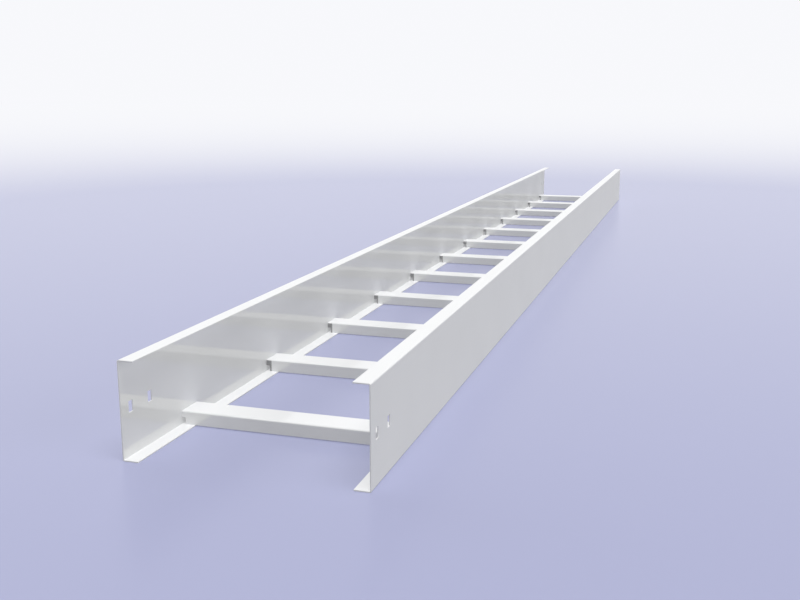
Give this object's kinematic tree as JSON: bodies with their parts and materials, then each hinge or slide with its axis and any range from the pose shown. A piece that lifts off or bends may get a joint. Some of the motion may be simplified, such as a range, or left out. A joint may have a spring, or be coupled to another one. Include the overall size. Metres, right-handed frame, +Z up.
{
  "type": "straight cable ladder section",
  "caption": "Straight ladder-type cable tray section: folded C-channel side rails with rectangular splice slots, joined by evenly spaced channel rungs that carry cables.",
  "frame": {"origin": "middle of the section's length and width, at the underside of the bottom flanges", "axes": "+Y along the rails, from the near end to the far end, +X across, +Z up"},
  "size_m": [0.3, 3, 0.12],
  "materials": {
    "white_coat": "smooth white powder coat, glossy, with grey primer brushed over the joints of rungs 2 to 12"
  },
  "bodies": {
    "root": {"side_rail_left": "white_coat", "side_rail_right": "white_coat", "rung_01": "white_coat", "rung_02": "white_coat", "rung_03": "white_coat", "rung_04": "white_coat", "rung_05": "white_coat", "rung_06": "white_coat", "rung_07": "white_coat", "rung_08": "white_coat", "rung_09": "white_coat", "rung_10": "white_coat", "rung_11": "white_coat", "rung_12": "white_coat"}
  },
  "joints": []
}
